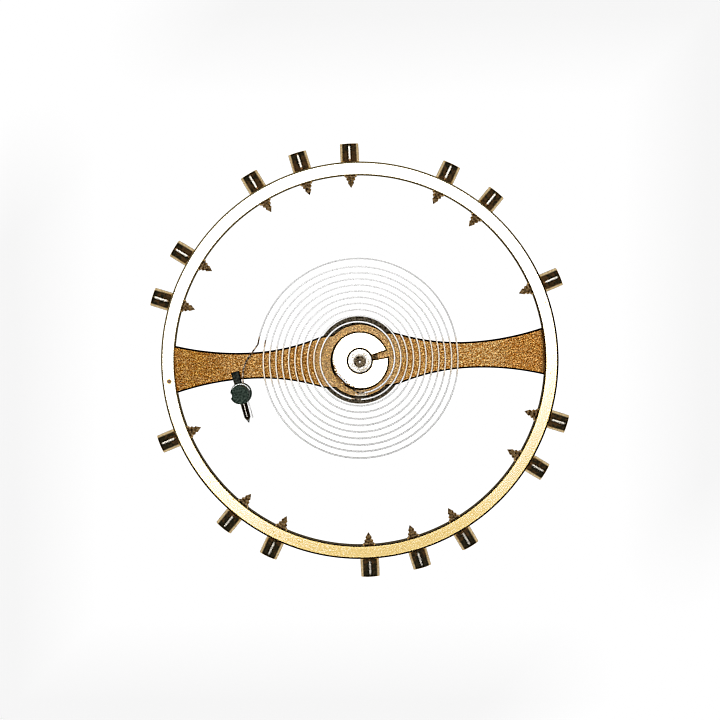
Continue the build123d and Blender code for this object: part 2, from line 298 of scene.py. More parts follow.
def node(tree, kind, inputs=(), **settings):
    """A node with its settings, each input a value or another node's output"""
    made = tree.nodes.new(kind)
    for key, value in settings.items():
        setattr(made, key, value)
    for key, value in dict(inputs).items():
        if isinstance(value, bpy.types.NodeSocket):
            tree.links.new(value, made.inputs[key])
        else:
            made.inputs[key].default_value = value
    return made


def new_material(name):
    """An empty material and its node tree"""
    material = bpy.data.materials.new(name)
    material.use_nodes = True
    material.node_tree.nodes.clear()
    return material, material.node_tree


def arithmetic(tree, operation, *values):
    """What one operation makes of these numbers or outputs"""
    return node(tree, "ShaderNodeMath", dict(enumerate(values)), operation=operation).outputs[0]


def vector(tree, operation, *values):
    """The outputs of one operation on these vectors"""
    return node(tree, "ShaderNodeVectorMath", dict(enumerate(values)), operation=operation).outputs


def product(tree, *values):
    """These values multiplied together"""
    out = values[0]
    for value in values[1:]:
        out = arithmetic(tree, "MULTIPLY", out, value)
    return out


def total(tree, *values):
    """These values added together"""
    out = values[0]
    for value in values[1:]:
        out = arithmetic(tree, "ADD", out, value)
    return out


def spread(tree, value, low, high, to_low, to_high):
    """A value mapped from one range to another and held inside it"""
    inputs = {0: value, 1: low, 2: high, 3: to_low, 4: to_high}
    return node(tree, "ShaderNodeMapRange", inputs, clamp=True).outputs[0]


def mixed(tree, factor, first, second, way="MIX"):
    """Two colours mixed, the second one by this factor"""
    inputs = {0: factor, 6: first, 7: second}
    return node(tree, "ShaderNodeMix", inputs, data_type="RGBA", blend_type=way).outputs[2]


def spot_in(tree):
    """The shaded point, in metres"""
    return node(tree, "ShaderNodeTexCoord").outputs["Object"]


def noise(tree, size, detail=2.0, shift=0.0):
    """Noise whose grains are about this many millimetres, from 0 to 1"""
    place = vector(tree, "MULTIPLY", spot_in(tree), (1 / (MM * size),) * 3)[0]
    place = vector(tree, "ADD", place, (shift,) * 3)[0]
    inputs = {"Vector": place, "Scale": 1.0, "Detail": detail}
    return node(tree, "ShaderNodeTexNoise", inputs).outputs["Fac"]


def along(tree, way):
    """How far a point lies in this direction, in millimetres"""
    reach = vector(tree, "DOT_PRODUCT", spot_in(tree), way)["Value"]
    return arithmetic(tree, "DIVIDE", reach, MM)


def away_from(tree, place):
    """The distance from a place, in millimetres"""
    gap = vector(tree, "DISTANCE", spot_in(tree), [c * MM for c in place])["Value"]
    return arithmetic(tree, "DIVIDE", gap, MM)


def ramp(tree, way, places, first, last):
    """A value that goes from first to last between two places along a direction"""
    return spread(tree, along(tree, way), *places, first, last)


def patch(tree, place, edge, inside, outside):
    """A value that goes from inside to outside between two distances from a place"""
    return spread(tree, away_from(tree, place), *edge, inside, outside)


def rise_of(tree):
    """How far a face turns upwards, from -1 to 1"""
    normal = node(tree, "ShaderNodeNewGeometry").outputs["Normal"]
    return node(tree, "ShaderNodeSeparateXYZ", {0: normal}).outputs["Z"]


def metal(name, dark, bright, rough, grain, depth, tone=(0.35, 0.65), detail=2.0, stain_and_light=None,
          grazing=1.0):
    """A metal with a grain: its two colours, its range of roughness, the grain's size and depth in
    millimetres, the range of noise between the colours, its wear, soiling and painted light and
    shade, and the share of light that it keeps at its outline"""
    rough_tone, rough_shift, height_shift = (0.3, 0.7), 7.0, 3.0
    material, tree = new_material(name)
    shade = spread(tree, noise(tree, grain, detail), *tone, 0, 1)
    colour = mixed(tree, shade, (*dark, 1), (*bright, 1))
    if stain_and_light:
        colour = stain_and_light(tree, colour)
    rough_value = spread(tree, noise(tree, grain, detail, rough_shift), *rough_tone, *rough)
    height = noise(tree, grain, detail, height_shift)
    bump = node(tree, "ShaderNodeBump", {"Strength": 1.0, "Distance": depth * MM, "Height": height})
    shader = node(tree, "ShaderNodeBsdfPrincipled", {
        "Base Color": colour, "Metallic": 1.0, "Roughness": rough_value, "Normal": bump.outputs[0],
        "Specular Tint": (grazing, grazing, grazing, 1),
    })
    node(tree, "ShaderNodeOutputMaterial", {"Surface": shader.outputs[0]})
    return material


# Wear, soiling and painted light and shade. Each function changes a metal's colour; its places and
# sizes are in millimetres
def rim_marks_and_painted_light(tree, colour):
    """Painted highlight on the top's borders on the upper half, painted shade on the right side,
    deeper flecks and dark specks on the lower half, and one brown spot beside the left arm"""
    # Painted highlight: the borders along the top's edges are pale on the upper half
    centre, inner_border, outer_border = (0, 0, rim_top), (4.70, 4.72), (4.93, 4.95)
    border_reach, border_strength = (-2.5, 0.5), 0.9
    borders = total(tree, patch(tree, centre, inner_border, 1, 0),
                    patch(tree, centre, outer_border, 0, 1))
    upper = ramp(tree, (-0.2, 1.0, 0.0), border_reach, 0, border_strength)
    level = spread(tree, rise_of(tree), 0.95, 0.99, 0, 1)
    colour = mixed(tree, product(tree, borders, upper, level), colour, (0.97, 0.94, 0.88, 1))

    # Painted shade: the right side is darkened
    right_shade_reach, right_shade_strength = (4.2, 4.75), 0.09
    right_shade = ramp(tree, (0.951, -0.309, 0.0), right_shade_reach, 0, right_shade_strength)
    colour = mixed(tree, right_shade, colour, black)

    fleck_size, fleck_tone = 0.042, (0.44, 0.63)
    fleck_strength, fleck_reach = (0.05, 0.5), (3.5, 4.6)
    flecks = spread(tree, noise(tree, fleck_size, 1.0, shift=17.0), *fleck_tone, *fleck_strength)
    lowest = ramp(tree, (0.1, -1.0, 0.0), fleck_reach, 0, 1)
    colour = mixed(tree, product(tree, flecks, lowest), colour, (0.74, 0.47, 0.11, 1))

    speck_size, speck_tone, speck_strength = 0.05, (0.83, 0.87), 0.6
    speck_reach, more_specks = (0.0, 4.0), 0.04
    low = ramp(tree, (0.2, -1.0, 0.0), speck_reach, 0, more_specks)
    specks = total(tree, noise(tree, speck_size, 0.0, shift=21.0), low)
    specks = spread(tree, specks, *speck_tone, 0, speck_strength)
    colour = mixed(tree, specks, colour, (0.16, 0.09, 0.03, 1))

    stain_place, stain_edge = unit(183.4) * 4.82, (0.045, 0.065)
    near_stain = patch(tree, (stain_place.real, stain_place.imag, rim_top), stain_edge, 1, 0)
    return mixed(tree, near_stain, colour, (0.15, 0.10, 0.075, 1))


def lit_side(tree, colour):
    """Edges on the light's side are browner and paler"""
    lit = ramp(tree, (-0.42, 0.91, 0.0), (-0.8, 2.2), 0, 1)
    return mixed(tree, lit, colour, (0.46, 0.39, 0.24, 1))


def painted_sheen_top(tree, colour, shade_colour=(0.03, 0.015, 0.006, 1), highlight=0.95,
             highlight_colour=(1.0, 0.95, 0.85, 1)):
    """A round piece that lies down gets painted shade on its upper side and a painted highlight
    line on top
    """
    # Painted shade over the upper side, then a painted highlight line along the top
    shaded_rise, top_shade_strength, highlight_rise = (0.60, 0.74), 0.94, (0.988, 0.998)
    rise = rise_of(tree)
    colour = mixed(tree, spread(tree, rise, *shaded_rise, 0, top_shade_strength), colour, shade_colour)
    highlight_mask = product(tree, spread(tree, rise, *highlight_rise, 0, 1), highlight)
    return mixed(tree, highlight_mask, colour, highlight_colour)


def head_sheen_and_shade(tree, colour):
    """A screw's head gets painted shade bands, browner towards the rim and on the wheel's upper
    side, and a painted highlight line that stops short of both ends"""
    centre, patch_size, patch_tone = (0, 0, 0), 0.09, (0.46, 0.66)
    near_rim = patch(tree, centre, (5.0, 5.45), 0.14, -0.1)
    upper = ramp(tree, (0.35, 0.94, 0.0), (-5.0, 5.0), -0.07, 0.07)
    brown = total(tree, noise(tree, patch_size, 1.0, shift=33.0), near_rim, upper)
    brown = spread(tree, brown, *patch_tone, 0, 1)
    shade_colour = mixed(tree, brown, (0.006, 0.008, 0.004, 1), (0.11, 0.05, 0.015, 1))
    # Painted highlight: the line along the top stops short of both ends
    highlight_line_start, highlight_line_end, highlight_line_strength = (5.06, 5.10), (5.37, 5.41), 0.95
    highlight = product(tree, patch(tree, centre, highlight_line_start, 0, highlight_line_strength),
                    patch(tree, centre, highlight_line_end, 1, 0))
    return painted_sheen_top(tree, colour, shade_colour, highlight, (0.62, 0.58, 0.50, 1))


def coil_painted_shade_and_reflection(tree, colour):
    """Painted shade makes the strip greyer on the wheel's upper side, most on its last turn, and a
    painted reflection of the arms makes it warmer over them"""
    centre = (0, 0, strip_middle)
    # Painted shade: greyer on the upper side and most on the last turn
    upper_shade, last_turn, last_shade = 0.12, (2.43, 2.49), 0.15
    upper = ramp(tree, (0.05, 1.0, 0.0), (0.2, 1.2), 0, upper_shade)
    last = product(tree, patch(tree, centre, last_turn, 0, last_shade),
                   ramp(tree, (0.0, 1.0, 0.0), (0.2, 0.8), 0, 1))
    colour = mixed(tree, total(tree, upper, last), colour, black)
    # Painted reflection of the arms: the strip is warmer over them
    arm_edge, hub_edge, arm_reflection_strength = (0.36, 0.56), (0.9, 1.1), 0.8
    height = arithmetic(tree, "ABSOLUTE", along(tree, (0, 1, 0)))
    arm_reflection = product(tree, spread(tree, height, *arm_edge, arm_reflection_strength, 0),
                        patch(tree, centre, hub_edge, 0, 1))
    return mixed(tree, arm_reflection, colour, (0.44, 0.365, 0.27, 1))


def arm_tints_shadow_and_highlight(tree, colour):
    """The grains differ in hue. The left arm is browner and the right one paler, with an orange end
    and a painted shadow where the rim shades it. Both middles are paler, and so is the hub, which
    has a painted highlight on its lower edge"""
    centre = (0, 0, arm_top)
    side = along(tree, (1, 0, 0))
    hue_size, hue_drift_size, hue_tone = 0.045, 0.4, (0.88, 1.12)
    hue = total(tree, noise(tree, hue_size, shift=27.0), noise(tree, hue_drift_size, shift=5.0))
    hue = spread(tree, hue, *hue_tone, 0, 1)
    tint = mixed(tree, hue, (1.05, 1.0, 0.66, 1), (0.98, 1.0, 1.16, 1))

    left_arm, right_arm, left_strength, right_strength = (-1.5, -1.1), (1.1, 1.5), 0.55, 0.5
    tint = mixed(tree, spread(tree, side, *left_arm, left_strength, 0), tint, (0.72, 0.56, 0.22, 1))
    tint = mixed(tree, spread(tree, side, *right_arm, 0, right_strength), tint, (1.2, 1.2, 1.1, 1))
    pale_start, pale_end, paleness = (1.1, 1.6), (3.3, 3.7), 0.45
    right_end, orange_strength = (3.5, 3.9), 0.5
    reach = arithmetic(tree, "ABSOLUTE", side)
    pale = product(tree, spread(tree, reach, *pale_start, 0, paleness),
                   spread(tree, reach, *pale_end, 1, 0))
    tint = mixed(tree, pale, tint, (1.3, 1.35, 1.45, 1))
    orange = spread(tree, side, *right_end, 0, orange_strength)
    tint = mixed(tree, orange, tint, (1.02, 0.75, 0.36, 1))
    colour = mixed(tree, 1.0, colour, tint, "MULTIPLY")

    # Painted shadow of the rim on the right arm's end
    shade_start, right_half, shade_strength = (4.57, 4.65), (0, 0.1), 0.9
    shaded = product(tree, patch(tree, centre, shade_start, 0, 1),
                     spread(tree, side, *right_half, 0, shade_strength))
    colour = mixed(tree, shaded, colour, (0.02, 0.01, 0.004, 1))
    hub_edge, hub_paleness = (1.0, 1.2), 0.26
    near_hub = patch(tree, centre, hub_edge, hub_paleness, 0)
    colour = mixed(tree, near_hub, colour, (1.0, 0.76, 0.42, 1))
    # Painted highlight on the hub's lower edge
    hub_highlight_place, hub_highlight_edge, hub_highlight_strength = (0.0, -0.95, arm_top), (0.12, 0.26), 0.5
    grain_size, hub_highlight_tone = 0.04, (0.78, 0.98)
    near_edge = patch(tree, hub_highlight_place, hub_highlight_edge, hub_highlight_strength, 0)
    highlight_mask = total(tree, noise(tree, grain_size, shift=15.0), near_edge)
    return mixed(tree, spread(tree, highlight_mask, *hub_highlight_tone, 0, 1), colour, (1.0, 0.9, 0.75, 1))


def specks_and_edge_shade(tree, colour):
    """Brown painted shade along the collet's lower left edge and brown specks above it"""
    way, speck_size, speck_reach, more_specks = (-0.82, -0.57, 0.0), 0.035, (0.30, 0.60), 0.16
    # Painted shade: the top's outer edge is darkened brown on the lower left
    shade_reach, shade_edge, more_shade, specks_and_shade_tone = (0.45, 0.60), (0.58, 0.70), 0.30, (0.72, 0.80)
    specks = total(tree, noise(tree, speck_size, 1.0, shift=9.0),
                   ramp(tree, way, speck_reach, 0, more_specks))
    edge = product(tree, patch(tree, (0, 0, collet_top), shade_edge, 0, more_shade),
                   ramp(tree, way, shade_reach, 0, 1))
    specks_and_shade = spread(tree, total(tree, specks, edge), *specks_and_shade_tone, 0, 1)
    return mixed(tree, specks_and_shade, colour, (0.10, 0.05, 0.015, 1))


rim_gilt = metal("rim_gilt", (0.925, 0.705, 0.295), (0.97, 0.755, 0.34), rough=(0.20, 0.24),
                 grain=0.024, depth=0.0001, stain_and_light=rim_marks_and_painted_light)
# Painted shade: rounded edges get near-black colours, paler on the light's side
painted_shade_gilt = metal("painted_shade_gilt", (0.04, 0.028, 0.014), (0.13, 0.09, 0.045), rough=(0.4, 0.55),
                  grain=0.05, depth=0.001, stain_and_light=lit_side, grazing=0.1)
frosted_gilt = metal("frosted_gilt", (0.38, 0.14, 0.014), (0.98, 0.64, 0.27), rough=(0.22, 0.36),
                     grain=0.032, depth=0.008, tone=(0.42, 0.68), detail=3.0, stain_and_light=arm_tints_shadow_and_highlight)
# Screw heads get painted shade bands and a painted highlight line
screw_brass = metal("screw_brass", (0.52, 0.37, 0.18), (0.86, 0.66, 0.36), rough=(0.19, 0.33),
                    grain=0.045, depth=0.0015, stain_and_light=head_sheen_and_shade)
point_brass = metal("point_brass", (0.07, 0.035, 0.015), (0.55, 0.38, 0.19), rough=(0.36, 0.55),
                    grain=0.05, depth=0.006, tone=(0.35, 0.62))
collet_brass = metal("collet_brass", (0.92, 0.80, 0.56), (0.97, 0.90, 0.74), rough=(0.15, 0.25),
                     grain=0.06, depth=0.0008, stain_and_light=specks_and_edge_shade)
pin_brass = metal("pin_brass", (0.70, 0.50, 0.22), (0.85, 0.65, 0.33), rough=(0.25, 0.35),
                  grain=0.05, depth=0.001)
staff_steel = metal("staff_steel", (0.55, 0.51, 0.45), (0.78, 0.74, 0.67), rough=(0.14, 0.24),
                    grain=0.05, depth=0.0008)
turned_steel = metal("turned_steel", (0.40, 0.34, 0.25), (0.74, 0.71, 0.66), rough=(0.2, 0.3),
                     grain=0.045, depth=0.0008, tone=(0.30, 0.55))
# Painted shade: near-black brass for rounded edges
painted_shade_brass = metal("painted_shade_brass", (0.02, 0.013, 0.006), (0.08, 0.055, 0.03), rough=(0.4, 0.55),
                   grain=0.05, depth=0.001, grazing=0.1)
# Painted shade: near-black steel for rounded edges
painted_shade_steel = metal("painted_shade_steel", (0.05, 0.035, 0.02), (0.14, 0.11, 0.08), rough=(0.3, 0.45),
                   grain=0.05, depth=0.001, grazing=0.1)
rivet_steel = metal("rivet_steel", (0.03, 0.02, 0.01), (0.35, 0.22, 0.10), rough=(0.3, 0.5),
                    grain=0.05, depth=0.006)
arbor_steel = metal("arbor_steel", (0.025, 0.016, 0.008), (0.64, 0.50, 0.33), rough=(0.35, 0.5),
                    grain=0.04, depth=0.02, tone=(0.42, 0.60))
roller_steel = metal("roller_steel", (0.03, 0.024, 0.016), (0.33, 0.28, 0.20), rough=(0.36, 0.5),
                     grain=0.05, depth=0.003, tone=(0.36, 0.68))
spring_steel = metal("spring_steel", (0.58, 0.55, 0.50), (0.70, 0.67, 0.62), rough=(0.18, 0.28),
                     grain=0.05, depth=0.0003)
spring_top = metal("spring_top", (0.45, 0.45, 0.445), (0.49, 0.485, 0.48), rough=(0.22, 0.24),
                   grain=0.05, depth=0.0001, stain_and_light=coil_painted_shade_and_reflection)
spring_dark = metal("spring_dark", (0.03, 0.02, 0.012), (0.50, 0.38, 0.27), rough=(0.25, 0.4),
                    grain=0.06, depth=0.002, tone=(0.45, 0.62))
stud_steel = metal("stud_steel", (0.035, 0.055, 0.042), (0.13, 0.18, 0.145), rough=(0.45, 0.6),
                   grain=0.05, depth=0.003, tone=(0.4, 0.68))
stud_edge = metal("stud_edge", (0.45, 0.47, 0.45), (0.70, 0.72, 0.70), rough=(0.2, 0.3),
                  grain=0.06, depth=0.001)
pin_steel = metal("pin_steel", (0.012, 0.014, 0.012), (0.10, 0.11, 0.09), rough=(0.3, 0.45),
                  grain=0.06, depth=0.006)
# Painted shade on its upper side and a painted highlight line along its top
pin_bright_painted_sheen = metal("pin_bright_painted_sheen", (0.16, 0.17, 0.16), (0.34, 0.35, 0.33), rough=(0.1, 0.18),
                   grain=0.08, depth=0.0008, stain_and_light=painted_sheen_top)

ruby, tree = new_material("ruby")
shade = spread(tree, noise(tree, 0.12), 0.35, 0.65, 0, 1)
shader = node(tree, "ShaderNodeBsdfPrincipled", {
    "Base Color": mixed(tree, shade, (0.45, 0.02, 0.06, 1), (0.70, 0.05, 0.12, 1)),
    "Roughness": 0.06, "IOR": 1.77, "Transmission Weight": 0.55,
})
node(tree, "ShaderNodeOutputMaterial", {"Surface": shader.outputs[0]})


# Rim, arms and hub
rim_foot_ease, rim_outer_ease, rim_inner_ease = 0.03, 0.044, 0.026
arm_ease, hub_ease, arm_reach_short_of_rim_middle = 0.044, 0.026, 0.04
outer_steps, inner_steps, root_steps, hub_steps = 60, 36, 12, 30


def tangent_arc(first, last, way, steps):
    """Points of the arc that leaves first in direction way and ends at last, and how it ends"""
    left = 1j * way / abs(way)
    chord = last - first
    lift = (chord * left.conjugate()).real
    radius = abs(chord) ** 2 / (2 * lift)
    centre = first + left * radius
    sweep = 2 * asin(lift / abs(chord))
    points = [centre + (first - centre) * rect(1, sweep * s / steps) for s in range(steps + 1)]
    return points, way * rect(1, sweep)


root_place = sqrt(hub_radius**2 - arm_root_half_width**2)
waist_place = hub_radius + arm_waist_share * (rim_inner_radius - hub_radius)
shoulder_place = root_place + arm_shoulder_share * (waist_place - root_place)
end_place = sqrt(rim_inner_radius**2 - arm_end_half_width**2)
in_rim_place = (rim_inner_radius + rim_outer_radius) / 2 - arm_reach_short_of_rim_middle
waist = complex(waist_place, arm_waist_half_width)
shoulder = complex(shoulder_place, arm_shoulder_half_width)
outer_side, _ = tangent_arc(waist, complex(end_place, arm_end_half_width), 1 + 0j, outer_steps)
inner_side, way = tangent_arc(waist, shoulder, -1 + 0j, inner_steps)
root_side, _ = tangent_arc(shoulder, complex(root_place, arm_root_half_width), way, root_steps)
root_angle = degrees(atan2(arm_root_half_width, root_place))
hub_angles = np.linspace(root_angle, 180 - root_angle, hub_steps + 1)
hub_side = [unit(a) * hub_radius for a in hub_angles[1:-1]]
arm_side = outer_side[::-1] + inner_side[1:] + root_side[1:]
arm_side.insert(0, complex(in_rim_place, arm_end_half_width))
upper_side = arm_side + hub_side + [-p.conjugate() for p in arm_side[::-1]]
arm_outline = upper_side + [-p for p in upper_side]

ring = lathe("rim", eased([
    (rim_inner_radius, -rim_top, rim_foot_ease),
    (rim_outer_radius, -rim_top, rim_foot_ease),
    (rim_outer_radius, rim_top, rim_outer_ease),
    (rim_inner_radius, rim_top, rim_inner_ease),
]), segments=512, closed=True)
screw_angles = [top + step * screw_grid_angle for top in (90, 270) for step in screw_grid_steps]
drills, drill_radius = [], thread_radius + thread_gap
for angle in screw_angles:
    drill = rod(drill_radius, rim_inner_radius - overrun, rim_outer_radius + overrun, segments=40)
    drills.append(moved(drill, turn(angle) @ turn(90, "Y")))
cut(ring, *drills)
eases = np.array([hub_ease if abs(p) < hub_radius + same_place else arm_ease for p in arm_outline])
arms = prism("arms", arm_outline, arm_bottom, arm_top, eases)
cut(arms, rod(rivet_radius + seat_gap, arm_bottom - overrun, arm_top + overrun, segments=96))
upright_rise, level_rise = 0.08, 0.99


def edge_face(centre, normal):
    """The rounded edges get a painted-shade material, darker than the faces between them"""
    return int(upright_rise < abs(normal.z) < level_rise)


hand_over(ring, "balance", ["rim_and_arms"], [rim_gilt, painted_shade_gilt], edge_face,
          crease=10)
hand_over(arms, "balance", ["rim_and_arms"], [frosted_gilt, painted_shade_brass], edge_face)

# Rim screws
head_end = rim_outer_radius + screw_head_length
head_foot_ease, head_end_ease, crest_ease, head_sink = 0.016, 0.02, 0.006, 0.002
dark_tip_share = 0.8
crests = [
    (radius_share * thread_radius, rim_inner_radius - place_share * screw_point_length, crest_ease)
    for place_share, radius_share in screw_point_shares[-2::-1]
]
screw = lathe("screw", eased([
    (0, rim_inner_radius - screw_point_length, 0),
    *crests,
    (thread_radius, rim_outer_radius + head_sink, 0),
    (screw_head_radius, rim_outer_radius, head_foot_ease),
    (screw_head_radius, head_end, head_end_ease),
    (0, head_end, 0),
], steps=3), segments=72)
reach = screw_head_radius + overrun
slot_low = (-screw_slot_width / 2, -reach, head_end - screw_slot_depth)
cut(screw, block(slot_low, (screw_slot_width / 2, reach, head_end + overrun)))
moved(screw, turn(90, "Y"))
dark_tip_radius = rim_inner_radius - dark_tip_share * screw_point_length


def tip_face(centre, normal):
    """The point is duller than the head, and its tip takes the near-black painted-shade edge colour
    """
    place = hypot(centre.x, centre.y)
    return 0 if place > rim_inner_radius else 1 if place > dark_tip_radius else 2


for number, angle in enumerate(screw_angles, start=1):
    copy = bpy.data.objects.new(f"screw_{number:02d}", screw.data.copy())
    bpy.context.scene.collection.objects.link(copy)
    hand_over(moved(copy, turn(angle)), "balance", [f"rim_screw_{number:02d}"],
              [screw_brass, point_brass, painted_shade_brass], tip_face)
bpy.data.objects.remove(screw)

# Staff
staff = lathe("staff", eased([
    (0, -staff_end, 0),
    (pivot_radius, -staff_end, 0.014),
    (pivot_radius, -pivot_foot, 0.03),
    (arbor_radius, -cone_foot, 0.01),
    (arbor_radius + arbor_taper, roller_seat_bottom, 0),
    (roller_seat_radius, roller_seat_bottom, 0.012),
    (roller_seat_radius, flange_bottom, 0),
    (flange_radius, flange_bottom, 0.014),
    (flange_radius, arm_bottom, 0),
    (rivet_radius, arm_bottom, 0),
    (rivet_radius, arm_top, 0),
    (rivet_radius + rivet_lip, arm_top, 0.008),
    (rivet_radius + rivet_lip, rivet_top, 0.014),
    (seat_radius, rivet_top, 0),
    (seat_radius, seat_top, 0.03),
    (arbor_radius + arbor_taper, seat_top, 0.006),
    (arbor_radius, cone_foot, 0.01),
    (pivot_radius, pivot_foot, 0.03),
    (pivot_radius, staff_end, 0.024),
    (0, staff_end, 0),
]), segments=96)
staff_looks = [staff_steel, arbor_steel, painted_shade_steel, rivet_steel, turned_steel]
least_rise = 0.05


def staff_face(centre, normal):
    """The rivet is dark, the pivots' ends are bright, and what shows above the seat is turned"""
    outside_seat = hypot(centre.x, centre.y) > seat_radius + same_place
    if arm_top < centre.z < rivet_top + same_place and outside_seat:
        return staff_looks.index(rivet_steel)
    if abs(centre.z) > staff_end - same_place:
        return staff_looks.index(staff_steel)
    if centre.z > seat_top + 2 * same_place and normal.z > least_rise:
        return staff_looks.index(arbor_steel)
    if centre.z > seat_top - same_place:
        return staff_looks.index(turned_steel)
    # Rounded edges get the painted-shade steel
    return staff_looks.index(painted_shade_steel if edge_face(centre, normal) else staff_steel)


hand_over(staff, "balance", ["balance_staff"], staff_looks, staff_face)

# Rollers and impulse jewel
table = lathe("rollers_upper", eased([
    (roller_seat_radius + seat_gap, roller_bottom, 0.01),
    (roller_radius, roller_bottom, 0.014),
    (roller_radius, flange_bottom, 0.014),
    (roller_seat_radius + seat_gap, flange_bottom, 0.01),
]), segments=192, closed=True)


def jewel_outline(grown):
    """The jewel's D, grown by this much on every side"""
    radius, flat = jewel_radius + grown, jewel_flat + grown
    half = degrees(acos(flat / radius))
    arc = [unit(a) * radius for a in np.linspace(half, 360 - half, num=40)]
    return [(jewel_place + p) * unit(jewel_angle) for p in arc]


facing_up, jewel_ease, jewel_sink, cutter_ease, cutter_rise = 0.9, 0.014, 0.012, 0.001, 0.001
cut(table, prism("cutter", jewel_outline(seat_gap), roller_bottom - overrun,
                 flange_bottom + overrun, cutter_ease))


def table_face(centre, normal):
    """Only the top is darkened"""
    return int(normal.z < facing_up)


hand_over(table, "balance", ["roller_table"], [roller_steel, staff_steel],
          table_face)
jewel = prism("jewel", jewel_outline(0), jewel_bottom, flange_bottom - jewel_sink, jewel_ease)
hand_over(jewel, "balance", ["impulse_jewel"], [ruby])
safety = lathe("rollers_lower", eased([
    (roller_seat_radius + seat_gap, safety_bottom, 0.01),
    (safety_radius, safety_bottom, 0.014),
    (safety_radius, safety_top, 0.014),
    (safety_pipe_radius, safety_top, 0.012),
    (safety_pipe_radius, roller_bottom, 0.006),
    (roller_seat_radius + seat_gap, roller_bottom, 0.006),
]), segments=160, closed=True)
notch = rod(safety_notch_radius, safety_bottom - overrun, safety_top + cutter_rise)
notch_place = unit(jewel_angle) * safety_radius
cut(safety, moved(notch, Matrix.Translation((notch_place.real, notch_place.imag, 0))))
hand_over(safety, "balance", ["safety_roller"], [staff_steel])

# Collet and its pin
seat_distance = collet_outer_radius - strip_seat_depth
pin_place = seat_distance - strip_thickness / 2 - touch_gap - collet_pin_radius
pin_half_length = collet_pin_share * sqrt(collet_outer_radius**2 - pin_place**2)
hole_place = pin_place + collet_hole_shift
hole_radius = hypot(seat_distance + strip_thickness / 2 - hole_place, strip_height / 2) + touch_gap
bore = seat_radius + seat_gap
outer_half = degrees(asin(collet_slot_width / 2 / collet_outer_radius))
bore_half = degrees(asin(collet_slot_width / 2 / bore))
collet_ease, least_ease_share, more_ease_share, bore_ease = 0.04, 0.85, 0.9, 0.01
widest_ease_angle, corner_share, window_margin = 215, 1.6, 0.015


def open_ring(radius, half, count):
    """Points of a ring between the slot's sides, none closer to a corner than its rounding"""
    step = degrees(corner_share * collet_ease / radius)
    angles = [half, *np.linspace(half + step, 360 - half - step, count), 360 - half]
    return [unit(a) * radius for a in angles]


def collet_ease_at(spot):
    """The outer edge is rounded most on its lower left side, and the bore's only a little"""
    if abs(spot) < bore + same_place:
        return bore_ease
    towards = part_of(spot / abs(spot), unit(widest_ease_angle - collet_slot_angle))
    return collet_ease * (least_ease_share + more_ease_share * max(0, towards))


outline = open_ring(collet_outer_radius, outer_half, count=150)
outline += open_ring(bore, bore_half, count=90)[::-1]
eases = np.array([collet_ease_at(p) for p in outline])
outline = [p * unit(collet_slot_angle) for p in outline]
collet = prism("collet_ring", outline, collet_bottom, collet_top, eases)
hole = rod(hole_radius, -2 * collet_outer_radius, 2 * collet_outer_radius, segments=48)
moved(hole, across(collet_pin_angle, hole_place, strip_middle))
window_start = seat_distance - strip_thickness / 2 - window_margin
window = block((window_start, -collet_window_half_length, strip_middle),
               (collet_outer_radius + overrun, collet_window_half_length, collet_top + overrun))
cut(collet, hole, moved(window, turn(collet_pin_angle)))
hand_over(collet, "balance", ["collet"], [collet_brass, painted_shade_brass], edge_face)
small = collet_pin_radius - collet_pin_taper
pin = lathe("collet_peg", eased([
    (0, -pin_half_length, 0),
    (collet_pin_radius, -pin_half_length, 0.012),
    (small, pin_half_length, 0.012),
    (0, pin_half_length, 0),
]), segments=40)
moved(pin, across(collet_pin_angle, pin_place, strip_middle))
hand_over(pin, "balance", ["collet_pin"], [pin_brass])


# Hairspring
def follow(spot, heading, moves):
    """Where the strip is and points after these moves. A move is a radius and how many degrees it
    turns, or radius 0 and how far it runs straight"""
    for radius, amount in moves:
        if radius == 0:
            spot = spot + unit(heading) * amount
        else:
            bend = radius if amount > 0 else -radius
            centre = spot + unit(heading + 90) * bend
            heading = heading + amount
            spot = centre - unit(heading + 90) * bend
    return spot, heading


start_length = strip_start_share * sqrt(collet_outer_radius**2 - seat_distance**2)
first_radius = collet_outer_radius + first_coil_gap
strip_heading = collet_pin_angle + 90
strip_start = unit(collet_pin_angle) * seat_distance - unit(strip_heading) * start_length
sideways = seat_distance - knee_radius - part_of(spring_centre, unit(collet_pin_angle))
forwards = sqrt((first_radius - knee_radius) ** 2 - sideways**2)
run = forwards + part_of(spring_centre, unit(strip_heading)) + start_length
knee_turn = degrees(atan2(forwards, sideways))
moves = [(0, run), (knee_radius, knee_turn)]
first_coil_move = len(moves)
part_turn = (stud_angle - elbow_to_stud_angle - collet_pin_angle - knee_turn) % 360
sweep = 360 * spring_whole_turns + part_turn
coil_radius = first_radius
for quarter in range(ceil(sweep / 90)):
    moves.append((coil_radius, min(90, sweep - 90 * quarter)))
    next_angle = collet_pin_angle + knee_turn + 90 * (quarter + 1)
    coil_radius += spring_pitch / 4 + spring_lean * sin(radians(next_angle))
(near_radius, near_angle), (last_radius, last_angle) = moves[-2:]
moves[-2:] = [
    (near_radius + spring_opening, spring_opening_angle),
    (near_radius - spring_opening_shift, near_angle - spring_opening_angle),
    (last_radius + spring_opening_shift, last_angle),
]
coil_end, coil_heading = follow(strip_start, strip_heading, moves)
knee_spot, _ = follow(strip_start, strip_heading, [(0, run), (knee_radius, knee_turn / 2)])
tail_distance = abs(coil_end) + tail_step
elbow = (elbow_radius, -elbow_turn)
spot, heading = follow(coil_end, coil_heading, [elbow])
bend = stud_angle + 90 - heading % 360
bend_out = tail_bend_radius * (1 - cos(radians(bend)))
step_out = tail_distance - part_of(spot, unit(stud_angle)) - bend_out
approach = [(0, step_out / part_of(unit(heading), unit(stud_angle))), (tail_bend_radius, bend)]
spot, heading = follow(spot, heading, approach)
tail_moves = [elbow] + approach + [(0, tail_length - part_of(spot, unit(stud_angle + 90)))]
